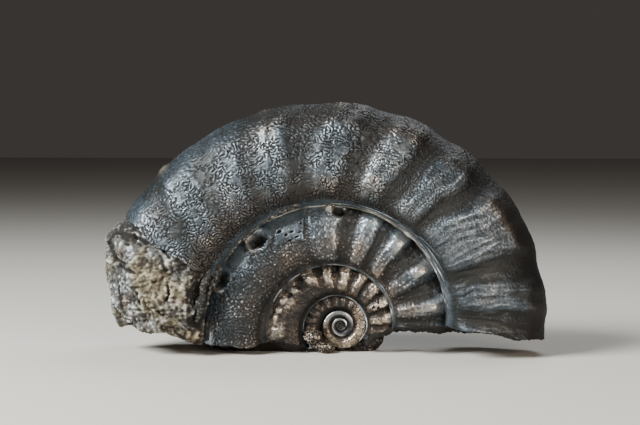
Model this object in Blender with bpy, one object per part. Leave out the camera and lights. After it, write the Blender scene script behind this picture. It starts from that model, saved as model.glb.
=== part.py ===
# A broken half of a pyritized ammonite, standing on its broken underside, with
# the rock that fills its broken mouth at the left.
#
# Units are metres and +Z is up. The shell coils in the XZ plane about an axis
# along Y. The flank that is seen faces -Y, and +X is on the right of it.
# Angles run counter-clockwise from +X as seen from the front, in the direction
# of growth, and a "turn" is such an angle in whole turns that keeps counting
# from one whorl to the next: turn 0 is where the nucleus leaves its last seam
# on the right, and the last whorl runs from turn 3 to about turn 3.43.

import math

import bmesh
import bpy
import numpy as np
from mathutils import Vector, noise

MM = 0.001

# Place of the coil in the part's frame
COIL_X = 2.33 * MM                 # coiling axis, from the middle of the length
COIL_Z = 3.55 * MM                 # coiling axis, above the surface it stands on

# Growth of the coil
SEAM_START = 3.51 * MM             # seam radius at turn 0
SEAM_GROWTH = 1.005                # doublings of the seam radius in each turn
LAST_WHORL = 2.0                   # turn after which growth slows
LAST_WHORL_SLOWING = 0.65          # doublings lost, times turns squared
VENTER_START = 27.57 * MM          # outer radius of the last whorl at turn 3
VENTER_GROWTH = 0.37
VENTER_WIDENING = 0.53
HIDDEN_OVERLAP = 1.12              # venter radius over seam radius, inner whorls

# Section of a whorl
HALF_WIDTH = 0.27                  # half thickness over venter radius
SEAM_SINK = 0.62                   # share of the half width lost at the seam
WALL_SHARE = 0.06                  # how quickly the umbilical wall rises

# Broken ends of the whorls
FIRST_ANGLE = -14.0                # degrees, buried in the cut below
LAST_ANGLE = 196.0
MOUTH_ANGLE = 155.0                # the last whorl breaks off here
MOUTH_STEP = 0.6
RING_STEP = 2.7                    # degrees between sections

# Ribs: crest angles in degrees, measured on the middle of each flank
OUTER_RIBS = (-4, 13, 31, 41, 57, 74, 92, 111, 125, 140, 156)
MIDDLE_RIBS = (-6, 14, 35, 56, 74, 95, 114, 135, 157, 176, 196)
INNER_RIBS = (-8, 11, 31, 52, 70, 88, 105, 123, 142, 165, 186)
OUTER_RIB_HEIGHT = 0.60 * MM
MIDDLE_RIB_HEIGHT = 0.40 * MM
INNER_RIB_HEIGHT = 0.32 * MM
RIB_WIDTH = 5.6                    # degrees
OUTER_LEAN = 9.0                   # degrees that a rib falls back across a flank
MIDDLE_LEAN = 5.0

# Tubercles where the middle whorl meets the last one, and hollows beside them
TUBERCLE_HEIGHT = 0.75 * MM
TUBERCLE_PLACE = 0.72              # share of the flank
TUBERCLE_SIZE = 0.10
HOLLOW_DEPTH = 0.65 * MM
HOLLOW_SHIFT = -8.5                # degrees from the tubercle
OPEN_PITS = (135, 157, 176)        # tubercles broken open into pits
PIT_DEPTH = 1.0 * MM

# Spines broken to stubs on the venter
VENTER_KNOBS = (90, 110, 137)
VENTER_KNOB_HEIGHT = 0.45 * MM

# Broken underside: height of the break below the coiling axis, along X from it
BREAK_X = (-34, -28, -21, -19.5, -18, -10, -5.5, -3.5, 3.4, 6.6, 13.4, 17.5, 21.6, 24.3, 28)
BREAK_FRONT = (0.3, 0.0, -0.4, -1.6, -2.1, -1.8, -1.7, -1.7, -1.4, 0.0, 0.5, 0.0, -0.1, -0.7, -1.6)
BREAK_BACK_X = (-34, -23, -18.5, -15, 3, 7, 12, 28)
BREAK_BACK = (-0.4, -1.2, -3.6, -4.0, -4.0, -3.0, -1.0, -1.2)
BREAK_FRONT_Y = -3.0 * MM
BREAK_BACK_Y = -0.5 * MM
BREAK_ROUGHNESS = 0.45 * MM
BREAK_GRAIN = 2.6 * MM
BREAK_STEP = 1.5 * MM

# Nucleus and the lumps that hang under it
NUCLEUS_SECTORS = 36
NUCLEUS_SHARES = (0.22, 0.40, 0.498, 0.56, 0.70, 0.86, 1.0)
CRUMB_CENTRE = (-3.0 * MM, -0.6 * MM, -2.2 * MM)
CRUMB_RADII = (2.2 * MM, 2.6 * MM, 2.0 * MM)
REMNANT_CENTRE = (1.0 * MM, 1.9 * MM, -1.7 * MM)
REMNANT_RADII = (5.6 * MM, 2.3 * MM, 2.6 * MM)
LUMP_ROUGHNESS = 0.35 * MM
LUMP_GRAIN = 1.3 * MM

# Rock in the broken mouth
ROCK_GAP = 0.3 * MM                # left between the rock and the shell
ROCK_START = 156.9
ROCK_END = 197.0
ROCK_HALF_WIDTH = 0.255            # half thickness over outer radius
ROCK_OUTLINE_ANGLES = (156, 159, 164, 171, 177, 182, 197)
ROCK_OUTLINE_RADII = (33.2, 34.2, 33.2, 31.8, 30.5, 29.5, 28.5)
ROCK_ROUGHNESS = 1.3 * MM
ROCK_GRAIN = 4.5 * MM
ROCK_POINTS = 11                   # points across one side of its section

# Stations across the flanks, as shares from seam to venter
OUTER_STATIONS = (0.0, 0.05, 0.12, 0.23, 0.37, 0.51, 0.65, 0.78, 0.89, 0.96)
MIDDLE_STATIONS = (0.0, 0.07, 0.20, 0.38, 0.56, 0.71)
INNER_STATIONS = (0.0, 0.12, 0.34, 0.60)


def seam_radius(turn):
    slowing = LAST_WHORL_SLOWING * max(turn - LAST_WHORL, 0.0) ** 2
    return SEAM_START * 2.0 ** (SEAM_GROWTH * turn - slowing)


def venter_radius(turn):
    if turn < 2.9:
        return HIDDEN_OVERLAP * seam_radius(turn)
    past = turn - 3.0
    return VENTER_START * 2.0 ** (VENTER_GROWTH * past + VENTER_WIDENING * past ** 2)


def bell(distance, width):
    return math.exp(-(distance / width) ** 2)


def ribs(angle, crests, width):
    """Height of a row of ribs, from 0 in a furrow to 1 on a crest."""
    return max(bell(angle - crest, width) for crest in crests)


def flank_point(turn, share):
    """Radius and half thickness of a plain whorl, from seam (0) to venter (1)."""
    inner = seam_radius(turn - 1.0)
    outer = venter_radius(turn)
    radius = inner + (outer - inner) * share
    crown = math.sqrt(max(1.0 - share ** 3, 0.0))
    wall = 1.0 - SEAM_SINK * math.exp(-share / WALL_SHARE)
    return radius, HALF_WIDTH * outer * crown * wall


def outer_relief(angle, share):
    leaning = angle + OUTER_LEAN * (share - 0.5)
    strength = min(share / 0.15, 1.0) * (1.0 - 0.55 * share ** 4)
    return OUTER_RIB_HEIGHT * strength * (ribs(leaning, OUTER_RIBS, RIB_WIDTH) - 0.5)


def middle_relief(angle, share):
    leaning = angle + MIDDLE_LEAN * (share - 0.5)
    strength = min(share / 0.12, 1.0)
    relief = MIDDLE_RIB_HEIGHT * strength * (ribs(leaning, MIDDLE_RIBS, RIB_WIDTH) - 0.5)
    across = bell(share - TUBERCLE_PLACE, TUBERCLE_SIZE)
    for crest in MIDDLE_RIBS:
        if crest in OPEN_PITS:
            relief -= PIT_DEPTH * across * bell(leaning - crest, 3.5)
        else:
            relief += TUBERCLE_HEIGHT * across * bell(leaning - crest, 4.0)
        relief -= HOLLOW_DEPTH * across * bell(leaning - crest - HOLLOW_SHIFT, 4.5)
    return relief


def inner_relief(angle, share):
    strength = min(share / 0.12, 1.0)
    return INNER_RIB_HEIGHT * strength * (ribs(angle, INNER_RIBS, 6.5) - 0.5)


def hidden_venter(turn, count, lift=0.0):
    """Arc over the venter of an inner whorl, from its front seam to its back seam."""
    seam = seam_radius(turn)
    share = (seam - seam_radius(turn - 1.0)) / (venter_radius(turn) - seam_radius(turn - 1.0))
    depth = flank_point(turn, share)[1]
    crown = venter_radius(turn) - seam
    arc = []
    for step in range(count):
        swing = math.pi * step / (count - 1)
        reach = seam + crown * math.sin(swing) + lift
        arc.append((reach, -depth * math.cos(swing)))
    return arc


def half_section(angle):
    """Section of the broken half at one angle: radius and Y, front then back."""
    base = angle / 360.0
    front = []
    nucleus_seam = seam_radius(base)
    front.append((0.72 * nucleus_seam, -0.10 * nucleus_seam))
    for share in INNER_STATIONS:
        radius, width = flank_point(base + 1.0, share)
        front.append((radius, -width - inner_relief(angle, share)))
    for share in MIDDLE_STATIONS:
        radius, width = flank_point(base + 2.0, share)
        front.append((radius, -width - middle_relief(angle, share)))
    if angle <= MOUTH_ANGLE:
        for share in OUTER_STATIONS:
            radius, width = flank_point(base + 3.0, share)
            front.append((radius, -width - outer_relief(angle, share)))
        knob = VENTER_KNOB_HEIGHT * max(bell(angle - place, 2.2) for place in VENTER_KNOBS)
        venter = venter_radius(base + 3.0) + 0.3 * outer_relief(angle, 1.0) + knob
        return front + [(venter, 0.0)] + [(radius, -y) for radius, y in reversed(front)]
    over = hidden_venter(base + 2.0, 2 * len(OUTER_STATIONS) + 1)
    return front + over + [(radius, -y) for radius, y in reversed(front)]


def place(radius, y, angle):
    turn = math.radians(angle)
    return Vector((COIL_X + radius * math.cos(turn), y, COIL_Z + radius * math.sin(turn)))


def loft(name, sections):
    """Join rings of equally many points into one closed body with flat ends."""
    mesh = bmesh.new()
    rings = [[mesh.verts.new(point) for point in section] for section in sections]
    count = len(rings[0])
    for first, second in zip(rings, rings[1:]):
        for here in range(count):
            after = (here + 1) % count
            mesh.faces.new((first[here], first[after], second[after], second[here]))
    mesh.faces.new(list(reversed(rings[0])))
    mesh.faces.new(rings[-1])
    bmesh.ops.triangulate(mesh, faces=mesh.faces, quad_method="SHORT_EDGE")
    bmesh.ops.recalc_face_normals(mesh, faces=mesh.faces)
    return add_object(name, mesh)


def add_object(name, mesh):
    data = bpy.data.meshes.new(name)
    mesh.to_mesh(data)
    mesh.free()
    thing = bpy.data.objects.new(name, data)
    bpy.context.scene.collection.objects.link(thing)
    return thing


def make_guide(thing):
    thing.hide_render = True
    thing.display_type = "WIRE"
    return thing


def combine(body, operation, tool):
    """Add an exact Boolean of a tool that stays out of the model."""
    make_guide(tool)
    modifier = body.modifiers.new(operation.lower(), "BOOLEAN")
    modifier.operation = operation
    modifier.solver = "EXACT"
    modifier.object = tool


def ring_angles(start, end):
    marks = np.arange(FIRST_ANGLE + 1.5, LAST_ANGLE, RING_STEP)
    inside = [float(mark) for mark in marks if start + 0.4 < mark < end - 0.4]
    return [start] + inside + [end]


def make_half():
    angles = ring_angles(FIRST_ANGLE, MOUTH_ANGLE)
    angles += ring_angles(MOUTH_ANGLE + MOUTH_STEP, LAST_ANGLE)
    sections = [[place(r, y, angle) for r, y in half_section(angle)] for angle in angles]
    return loft("half_coil", sections)


def grain(point, size, seed):
    return noise.fractal(Vector(point) / size + Vector((seed, 0.0, 0.0)), 0.9, 2.1, 3)


def break_height(x, y):
    """Height of the broken underside above or below the coiling axis."""
    front = np.interp(x / MM, BREAK_X, BREAK_FRONT) * MM
    back = np.interp(x / MM, BREAK_BACK_X, BREAK_BACK) * MM
    share = min(max((y - BREAK_FRONT_Y) / (BREAK_BACK_Y - BREAK_FRONT_Y), 0.0), 1.0)
    share = share * share * (3.0 - 2.0 * share)
    rough = BREAK_ROUGHNESS * grain((x, y, 0.0), BREAK_GRAIN, 7.0)
    return front + (back - front) * share + rough


def make_break_cutter():
    """A block whose top is the broken underside, no lower than the ground."""
    mesh = bmesh.new()
    length = 76.0 * MM
    width = 30.0 * MM
    bmesh.ops.create_grid(
        mesh, x_segments=round(length / BREAK_STEP), y_segments=round(width / BREAK_STEP), size=0.5
    )
    for vert in mesh.verts:
        x = vert.co.x * length
        y = vert.co.y * width
        vert.co = (COIL_X + x, y, max(COIL_Z + break_height(x, y), 0.0))
    top = list(mesh.faces)
    lower = bmesh.ops.extrude_face_region(mesh, geom=top)
    for part in lower["geom"]:
        if isinstance(part, bmesh.types.BMVert):
            part.co.z = -20.0 * MM
    bmesh.ops.recalc_face_normals(mesh, faces=mesh.faces)
    return add_object("break_cutter", mesh)


def make_ground_cutter():
    mesh = bmesh.new()
    bmesh.ops.create_cube(mesh, size=20.0 * MM)
    bmesh.ops.translate(mesh, verts=mesh.verts, vec=(COIL_X, 0.0, -10.0 * MM))
    return add_object("ground_cutter", mesh)


def nucleus_rim(angle):
    """Outer radius of the nucleus: one turn that ends at the left."""
    turn = angle / 360.0
    if angle > 190.0:
        turn -= 1.0
    return seam_radius(turn)


def nucleus_width(angle, share):
    """Half thickness of the nucleus, whose whorls stand up like rope."""
    rim = nucleus_rim(angle)
    width = 0.27 * HIDDEN_OVERLAP * rim
    if share > 0.5:
        across = (share - 0.498) / 0.62
        return width * math.sqrt(max(1.0 - across ** 3, 0.0)) * (1.0 - 0.45 * bell(across, 0.12))
    return 0.5 * width * (1.0 - 0.25 * bell(share - 0.25, 0.1))


def make_nucleus():
    mesh = bmesh.new()
    angles = [-165.0 + 360.0 * step / NUCLEUS_SECTORS for step in range(NUCLEUS_SECTORS)]
    sides = []
    for facing in (-1.0, 1.0):
        centre = mesh.verts.new(place(0.0, facing * 0.4 * MM, 0.0))
        spokes = []
        for angle in angles:
            rim = nucleus_rim(angle)
            spoke = [
                mesh.verts.new(place(rim * share, facing * nucleus_width(angle, share), angle))
                for share in NUCLEUS_SHARES
            ]
            spokes.append(spoke)
        sides.append(spokes)
        for here in range(NUCLEUS_SECTORS):
            first = spokes[here]
            second = spokes[(here + 1) % NUCLEUS_SECTORS]
            mesh.faces.new((centre, first[0], second[0]))
            for step in range(len(NUCLEUS_SHARES) - 1):
                mesh.faces.new((first[step], first[step + 1], second[step + 1], second[step]))
    front, back = sides
    for here in range(NUCLEUS_SECTORS):
        after = (here + 1) % NUCLEUS_SECTORS
        mesh.faces.new((front[here][-1], front[after][-1], back[after][-1], back[here][-1]))
    bmesh.ops.triangulate(mesh, faces=mesh.faces)
    bmesh.ops.recalc_face_normals(mesh, faces=mesh.faces)
    return add_object("nucleus", mesh)


def make_lump(name, centre, radii, seed):
    mesh = bmesh.new()
    bmesh.ops.create_icosphere(mesh, subdivisions=3, radius=1.0)
    for vert in mesh.verts:
        unit = vert.co.normalized()
        point = Vector(unit[axis] * radii[axis] for axis in range(3))
        point += unit * LUMP_ROUGHNESS * grain(point, LUMP_GRAIN, seed)
        vert.co = point + Vector(centre) + Vector((COIL_X, 0.0, COIL_Z))
    return add_object(name, mesh)


def rock_section(angle):
    """Ring of the rock: over the whorl beneath it, then round its own outside."""
    base = angle / 360.0
    ring = [place(r, y, angle) for r, y in reversed(hidden_venter(base + 2.0, 13, ROCK_GAP))]
    outer = np.interp(angle, ROCK_OUTLINE_ANGLES, ROCK_OUTLINE_RADII) * MM
    inner = seam_radius(base + 2.0) + ROCK_GAP
    half = ROCK_HALF_WIDTH * outer
    for step in range(2 * ROCK_POINTS + 1):
        swing = -1.0 + step / ROCK_POINTS
        share = 1.0 - abs(swing) ** 1.3 * 0.93
        width = half * math.sqrt(1.0 - share ** 3) * (1.0 - SEAM_SINK * math.exp(-share / WALL_SHARE))
        y = width if swing > 0.0 else -width
        point = place(inner + (outer - inner) * share, y, angle)
        away = (point - place(0.5 * (inner + outer), 0.0, angle)).normalized()
        fade = min(1.0, share / 0.3)
        ring.append(point + away * ROCK_ROUGHNESS * fade * grain(point, ROCK_GRAIN, 3.0))
    return ring


def make_rock():
    sections = [rock_section(angle) for angle in ring_angles(ROCK_START, ROCK_END)]
    return loft("matrix_plug", sections)


def add_material(thing, name, colour, roughness, metallic):
    material = bpy.data.materials.new(name)
    material.use_nodes = True
    shader = material.node_tree.nodes["Principled BSDF"]
    shader.inputs["Base Color"].default_value = (*colour, 1.0)
    shader.inputs["Roughness"].default_value = roughness
    shader.inputs["Metallic"].default_value = metallic
    thing.data.materials.append(material)


def build():
    for thing in list(bpy.data.objects):
        bpy.data.objects.remove(thing, do_unlink=True)

    break_cutter = make_break_cutter()
    ammonite = make_half()
    ammonite.name = "ammonite"
    combine(ammonite, "DIFFERENCE", break_cutter)
    combine(ammonite, "UNION", make_nucleus())
    combine(ammonite, "UNION", make_lump("crumb", CRUMB_CENTRE, CRUMB_RADII, 1.0))
    combine(ammonite, "UNION", make_lump("remnant", REMNANT_CENTRE, REMNANT_RADII, 5.0))
    combine(ammonite, "DIFFERENCE", make_ground_cutter())
    add_material(ammonite, "pyrite", (0.16, 0.16, 0.17), 0.42, 0.85)

    rock = make_rock()
    combine(rock, "DIFFERENCE", break_cutter)
    add_material(rock, "rock", (0.36, 0.31, 0.24), 0.9, 0.0)


build()
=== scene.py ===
import bpy
import numpy as np
from mathutils import Matrix, Vector


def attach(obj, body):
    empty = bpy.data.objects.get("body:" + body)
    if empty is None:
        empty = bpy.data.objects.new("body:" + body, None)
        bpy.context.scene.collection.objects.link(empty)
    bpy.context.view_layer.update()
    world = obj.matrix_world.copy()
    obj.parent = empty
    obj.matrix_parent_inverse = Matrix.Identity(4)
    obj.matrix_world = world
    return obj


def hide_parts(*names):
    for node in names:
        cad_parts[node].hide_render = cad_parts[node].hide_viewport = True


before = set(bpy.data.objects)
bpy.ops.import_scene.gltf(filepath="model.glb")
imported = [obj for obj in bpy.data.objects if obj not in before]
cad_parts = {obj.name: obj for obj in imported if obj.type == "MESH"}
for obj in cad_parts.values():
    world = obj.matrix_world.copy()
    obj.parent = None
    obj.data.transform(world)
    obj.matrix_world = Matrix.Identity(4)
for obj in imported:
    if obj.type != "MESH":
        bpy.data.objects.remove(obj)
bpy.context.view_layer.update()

mm = 0.001

# All shapes are worked out in mm from the coiling axis: x to the right, y into
# the picture, z up. Angles are degrees counter-clockwise from +x, the way the
# shell grew. A turn is such an angle in whole turns, counted on from whorl to whorl.
coil = dict(
    x=2.33, z=3.55,  # coiling axis in the frame
    slowTurn=2, lastTurn=3, freeTurn=2.9,  # growth slows, last whorl starts, its venter is free
    seamStart=3.51, seamGrowth=1.005, slowing=0.65,
    venterStart=27.57, venterGrowth=0.37, venterWidening=0.53,
    overlap=1.12,  # venter over seam radius on the covered whorls
    halfWidth=0.27, seamSink=0.62, wallShare=0.06,
    bedding=0.05,  # mm that the underside of a whorl sinks into the one inside it
)


# Small tools

def linearColour(hexText):
    # an sRGB hex colour as linear red, green, blue and alpha
    channels = np.array([int(hexText[i:i + 2], 16) for i in (0, 2, 4)]) / 255
    linear = np.where(channels <= 0.04045, channels / 12.92, ((channels + 0.055) / 1.055) ** 2.4)
    return (*(float(c) for c in linear), 1.0)


def smooth(x, low, high):
    # 0 below low, 1 above high, an even S curve between
    t = np.clip((x - low) / (high - low), 0, 1)
    return t * t * (3 - 2 * t)


def bell(distance, width):
    # 1 in the middle, falling off as exp(-(distance / width)^2)
    return np.exp(-(distance / width) ** 2)


def scatter(ix, iy, iz, seed):
    # a repeatable number from 0 to 1 for each whole-number lattice point
    h = (ix * 374761393 + iy * 668265263 + iz * 1274126177 + seed * 974634777) & 0xFFFFFFFF
    h = ((h ^ (h >> 13)) * 1103515245) & 0xFFFFFFFF
    h = ((h ^ (h >> 15)) * 1597334677) & 0xFFFFFFFF
    return (h ^ (h >> 16)) / 4294967295.0


def lumpNoise(points, size, seed):
    # value noise from -1 to 1: lattice numbers a given size apart, blended by an S curve
    cells = np.floor(points / size)
    part = smooth(points / size - cells, 0, 1)
    shares = 1 - part, part
    ix, iy, iz = (cells[..., k].astype(np.int64) for k in range(3))
    total = 0
    for dx, dy, dz in np.ndindex(2, 2, 2):
        weight = shares[dx][..., 0] * shares[dy][..., 1] * shares[dz][..., 2]
        total = total + weight * scatter(ix + dx, iy + dy, iz + dz, seed)
    return 2 * total - 1


def fractal(points, size, octaves, seed):
    # octaves of lump noise, each half the size and height of the last
    total = 0
    for octave in range(octaves):
        part = 0.5 ** octave
        total = total + part * lumpNoise(points, size * part, seed + 17 * octave)
    return total


def grains(points, size, seed):
    # distance to the nearest and second nearest scattered grain centre, in grain sizes
    scaled = points / size
    home = np.floor(scaled)
    near = np.full(points.shape[:-1], 9.0)
    second = near.copy()
    for step in np.ndindex(3, 3, 3):
        cell = home + step - 1
        ix, iy, iz = (cell[..., k].astype(np.int64) for k in range(3))
        gap = 0
        for k in range(3):
            gap = gap + (cell[..., k] + scatter(ix, iy, iz, seed + k) - scaled[..., k]) ** 2
        gap = np.sqrt(gap)
        second = np.minimum(second, np.maximum(near, gap))
        near = np.minimum(near, gap)
    return near, second


def readMap(field, down, across):
    # bilinear reading of a map that repeats, at fractional rows and columns
    rows, columns = field.shape
    r0, c0 = np.floor(down).astype(int), np.floor(across).astype(int)
    fr, fc = down - r0, across - c0
    r0, c0 = r0 % rows, c0 % columns
    r1, c1 = (r0 + 1) % rows, (c0 + 1) % columns
    top = field[r0, c0] * (1 - fc) + field[r0, c1] * fc
    low = field[r1, c0] * (1 - fc) + field[r1, c1] * fc
    return top * (1 - fr) + low * fr


# The coil

def seamRadius(turn):
    # doubles about once a turn, and grows more slowly on the last whorl
    late = np.maximum(turn - coil["slowTurn"], 0)
    return coil["seamStart"] * 2 ** (coil["seamGrowth"] * turn - coil["slowing"] * late ** 2)


def venterRadius(turn):
    # a fixed share beyond the seam where covered, a law of its own on the last whorl
    past = turn - coil["lastTurn"]
    free = coil["venterStart"] * 2 ** (coil["venterGrowth"] * past + coil["venterWidening"] * past ** 2)
    return np.where(turn > coil["freeTurn"], free, coil["overlap"] * seamRadius(turn))


def flank(turn, share):
    # radius and half thickness: a flattened oval, pinched in where share 0 meets the last whorl
    inner, outer = seamRadius(turn - 1), venterRadius(turn)
    crown = np.sqrt(np.clip(1 - share ** 3, 0, 1))
    wall = 1 - coil["seamSink"] * np.exp(-share / coil["wallShare"])
    return inner + (outer - inner) * share, coil["halfWidth"] * outer * crown * wall


def seamShare(turn):
    # where across its flank a covered whorl meets the next one
    inner = seamRadius(turn - 1)
    return (seamRadius(turn) - inner) / (venterRadius(turn) - inner)


def overVenter(turn, swing, lift):
    # a half-ellipse over a covered venter, swing 0 at the front seam to pi at the back one
    seam = seamRadius(turn)
    depth = flank(turn, seamShare(turn))[1]
    return seam + (venterRadius(turn) - seam) * np.sin(swing) + lift, -depth * np.cos(swing)


def place(radius, y, angle):
    a = np.radians(angle)
    return np.stack(np.broadcast_arrays(radius * np.cos(a), y, radius * np.sin(a)), -1)


# The broken underside: its height along x, at the front and at the back
breakFace = dict(
    x=(-34, -28, -21, -19.5, -18, -10, -5.5, -3.5, 3.0, 3.9, 6.6, 13.4, 17.5, 21.6, 24.3, 28),
    front=(0.3, 0.0, -0.6, -1.3, -2.4, -2.3, -2.4, -2.6, -2.4, -0.6, 0.1, 0.5, 0.0, -0.1, -0.7, -1.6),
    backX=(-34, -23, -18.5, -15, 2.5, 5, 8, 12, 28),
    back=(-0.2, -0.8, -2.6, -4.0, -4.0, -1.4, -0.6, -0.5, -1.2),
    frontY=-2.4, backY=0.2,
    rough=0.4, grain=2.6,  # mm
)


def breakHeight(x, y):
    # front and back heights blended by an S curve in y, with coarse lumps
    front = np.interp(x, breakFace["x"], breakFace["front"])
    back = np.interp(x, breakFace["backX"], breakFace["back"])
    share = smooth(y, breakFace["frontY"], breakFace["backY"])
    flat = np.stack(np.broadcast_arrays(x, y, 0 * x), -1)
    return front + (back - front) * share + breakFace["rough"] * fractal(flat, breakFace["grain"], 2, 5)


def onBreak(x, y):
    # the break with its fine crumb, no lower than the ground
    flat = np.stack(np.broadcast_arrays(x, y, 0 * x), -1)
    near, second = grains(flat, 0.8, 31)
    fine = 0.16 * fractal(flat, 0.7, 3, 9) - 0.16 * smooth(second - near, 0.25, 0.0)
    return np.maximum(breakHeight(x, y) + fine, -coil["z"])


# Grids to meshes

def spacedShares(turn, last, step):
    # shares from the seam to the last one, about one step of surface apart
    fine = np.linspace(0, last, 3000)
    radius, width = flank(turn, fine)
    run = np.concatenate([[0], np.cumsum(np.hypot(np.diff(radius), np.diff(width)))])
    return np.interp(np.linspace(0, run[-1], int(np.ceil(run[-1] / step)) + 1), run, fine)


def surfaceNormals(points):
    # cross product of the grid's two directions, columns running round
    along = np.gradient(points, axis=0)
    around = np.roll(points, -1, 1) - np.roll(points, 1, 1)
    normal = np.cross(around, along)
    return normal / np.maximum(np.linalg.norm(normal, axis=-1, keepdims=True), 1e-9)


def blurred(grid, reach):
    # mean over a square of 2 reach + 1 points, from running sums, held at the edges
    for axis in (0, 1):
        first, last = np.take(grid, [0], axis), np.take(grid, [-1], axis)
        edges = np.repeat(first, reach + 1, axis), np.repeat(last, reach, axis)
        sums = np.cumsum(np.concatenate([edges[0], grid, edges[1]], axis), axis)
        wide, count = 2 * reach + 1, grid.shape[axis]
        grid = (np.take(sums, range(wide, wide + count), axis) - np.take(sums, range(count), axis)) / wide
    return grid


markNames = ("tone", "warm", "pale", "wall", "broken")  # what the materials read at each point; broken marks where the near-black painted shadow goes


def closedShell(points, layers):
    # rows joined to rows and the last column to the first, each end row drawn to a pole, faces outward
    rows, columns = points.shape[:2]
    verts = np.concatenate([points.reshape(-1, 3), [points[0].mean(0), points[-1].mean(0)]])
    index = np.arange(rows * columns).reshape(rows, columns)
    after = np.roll(index, -1, 1)
    quads = np.stack([index[:-1], after[:-1], after[1:], index[1:]], -1).reshape(-1, 4)
    first = np.stack([np.full(columns, rows * columns), after[0], index[0]], -1)
    last = np.stack([np.full(columns, rows * columns + 1), index[-1], after[-1]], -1)
    caps = np.concatenate([first, last])
    a, b, c, d = (verts[quads[:, k]] for k in range(4))
    volume = np.einsum("ij,ij->", a, np.cross(b, c)) + np.einsum("ij,ij->", a, np.cross(c, d))
    if volume < 0:
        quads, caps = quads[:, ::-1], caps[:, ::-1]
    spread = {}
    for key in markNames:
        value = np.broadcast_to(layers.get(key, 0.0), (rows, columns))
        spread[key] = np.concatenate([value.ravel(), [value[0].mean(), value[-1].mean()]])
    corners = np.concatenate([quads.ravel(), caps.ravel()])
    sizes = np.concatenate([np.full(len(quads), 4), np.full(len(caps), 3)])
    return dict(verts=verts, corners=corners, sizes=sizes, layers=spread)


sharpAngle = 76  # degrees; only the rims of caps are as sharp


def addObject(name, data):
    thing = bpy.data.objects.new(name, data)
    bpy.context.scene.collection.objects.link(thing)
    return thing


def makePiece(name, shells, material):
    # one smooth mesh object in metres, from one or more closed shells
    starts = np.cumsum([0] + [len(shell["verts"]) for shell in shells])
    verts = np.concatenate([shell["verts"] for shell in shells]) + (coil["x"], 0, coil["z"])
    corners = np.concatenate([shell["corners"] + start for shell, start in zip(shells, starts)])
    sizes = np.concatenate([shell["sizes"] for shell in shells])
    verts[:, 2] = np.maximum(verts[:, 2], 0)
    data = bpy.data.meshes.new(name)
    data.vertices.add(len(verts))
    data.vertices.foreach_set("co", (verts * mm).astype(np.float32).ravel())
    data.loops.add(len(corners))
    data.loops.foreach_set("vertex_index", corners.astype(np.int32))
    data.polygons.add(len(sizes))
    data.polygons.foreach_set("loop_start", np.concatenate([[0], np.cumsum(sizes)[:-1]]).astype(np.int32))
    data.update(calc_edges=True)
    data.validate()
    for key in markNames:
        layer = data.attributes.new(key, "FLOAT", "POINT")
        values = np.concatenate([shell["layers"][key] for shell in shells])
        layer.data.foreach_set("value", values.astype(np.float32))
    data.shade_smooth()
    data.set_sharp_from_angle(angle=np.radians(sharpAngle))
    data.materials.append(materials[material])
    print(name, int((sizes - 2).sum()), "triangles")
    return addObject(name, data)


# Marks on a surface

def addSpots(total, across, down, spots):
    # flat-topped bells: place, half sizes in mm, mm high, and what each adds to tone, warm and pale,
    # without the zeros at a row's end
    (u, uScale), (v, vScale) = across, down
    for spotU, spotV, halfU, halfV, *gains in spots:
        gap = np.hypot((u - spotU) * uScale / halfU, (v - spotV) * vScale / halfV)
        mark = np.exp(-gap ** 3) * total["front"]
        for key, gain in zip(("rise", "tone", "warm", "pale"), gains):
            total[key] += gain * mark


crackTone = 0.7  # how much darker a crack is than what it cuts


def addCracks(total, x, z, cracks):
    # each crack is a straight cut between two points, with a half width and a depth in mm
    for x0, z0, x1, z1, half, depth in cracks:
        alongX, alongZ = x1 - x0, z1 - z0
        run = np.clip(((x - x0) * alongX + (z - z0) * alongZ) / (alongX ** 2 + alongZ ** 2), 0, 1)
        mark = bell(np.hypot(x - x0 - run * alongX, z - z0 - run * alongZ), half) * total["front"]
        total["rise"] -= depth * mark
        total["tone"] -= crackTone * mark


rubAndShadingReach = ((3, 0.5), (12, 0.3))  # grid steps to blur over, and the most that adds


def rubAndPaintedShading(total, *gains):
    # what stands above its surroundings is rubbed bright with a painted highlight, what lies below holds
    # dirt and painted shade
    for (reach, most), gain in zip(rubAndShadingReach, gains):
        above = total["rise"] - blurred(total["rise"], reach)
        total["tone"] = total["tone"] + np.clip(above * gain, -most, most)


# Suture lines: where a noise kept to one wavelength crosses zero, drawn at an even width.
# The real frills repeat about every 0.6 mm.
sutureMap = dict(
    rows=400, columns=1600, seed=9, rounds=2, band=0.5, push=1.3,
    cell=0.05, wave=0.8, edge=0.15, core=0.03, frill=0.4, sway=0.2,  # mm
    leastSlope=0.04,
)


def makeSutures():
    # worm-like bands of even width: noise kept to one wavelength and clipped, over and over;
    # the distance to a zero line is then the map's value over its slope
    spec, rows, columns = sutureMap, sutureMap["rows"], sutureMap["columns"]
    field = np.random.default_rng(spec["seed"]).standard_normal((rows, columns))
    waves = np.hypot(np.fft.fftfreq(rows)[:, None], np.fft.rfftfreq(columns)[None, :])
    band = bell(waves * (spec["wave"] / spec["cell"]) - 1, spec["band"])
    for _ in range(spec["rounds"]):
        field = np.fft.irfft2(np.fft.rfft2(field) * band, s=field.shape)
        field = np.tanh(spec["push"] * field / field.std())
    slopes = [np.roll(field, -1, k) - np.roll(field, 1, k) for k in (0, 1)]
    slope = np.maximum(np.hypot(*slopes) / (2 * spec["cell"]), spec["leastSlope"])
    return smooth(np.abs(field) / slope, spec["edge"], spec["core"])


sutures = makeSutures()


def sutureAt(points, angle, share, front, shift, backShift, radius, length):
    # suture grooves from 0 to 1, read by distance along and across the flank; noise frills them
    cell, size, sway = sutureMap["cell"], sutureMap["frill"], sutureMap["sway"]
    angle = np.radians(angle + shift + backShift * (1 - front))
    along = angle * radius + sway * lumpNoise(points, size, 16)
    across = share * length + sway * lumpNoise(points, size, 18)
    return readMap(sutures, across / cell, along / cell)


# Whorls

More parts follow.
